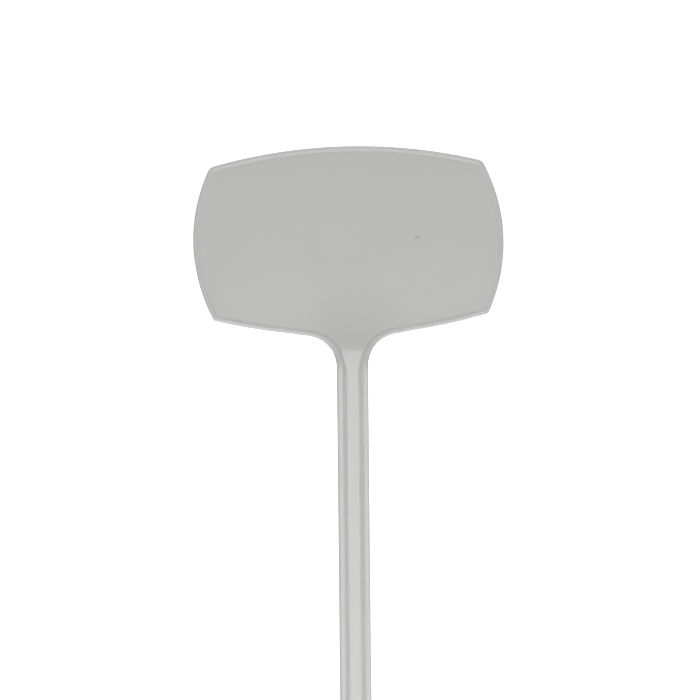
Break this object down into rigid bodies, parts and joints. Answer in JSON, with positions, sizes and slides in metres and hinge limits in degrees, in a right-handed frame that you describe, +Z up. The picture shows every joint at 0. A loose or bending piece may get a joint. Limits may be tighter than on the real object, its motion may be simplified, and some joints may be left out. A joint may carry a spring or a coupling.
{
  "type": "plant label stake",
  "caption": "Framed rectangular writing plate with bowed edges, leaning back on a channel section stem with a tapered point to push into soil.",
  "frame": {"origin": "on the stem's axis at the soil line, midway through the stem's depth", "axes": "+Z up along the stem, +X to the right as seen from the front, -Y the side that the writing plate faces"},
  "size_m": [0.1, 0.0377, 0.2769],
  "materials": {
    "moulded_plastic": "pale neutral grey moulding, matte with a fine spark-eroded grain, no print or lettering"
  },
  "bodies": {
    "root": {"label_plate": "moulded_plastic", "border_top": "moulded_plastic", "border_left": "moulded_plastic", "border_right": "moulded_plastic", "border_lower_left": "moulded_plastic", "border_lower_right": "moulded_plastic", "neck_web": "moulded_plastic", "neck_rib_left": "moulded_plastic", "neck_rib_right": "moulded_plastic", "stem_web": "moulded_plastic", "stem_rib_left": "moulded_plastic", "stem_rib_right": "moulded_plastic", "point_web": "moulded_plastic", "point_rib_left": "moulded_plastic", "point_rib_right": "moulded_plastic"}
  },
  "joints": []
}
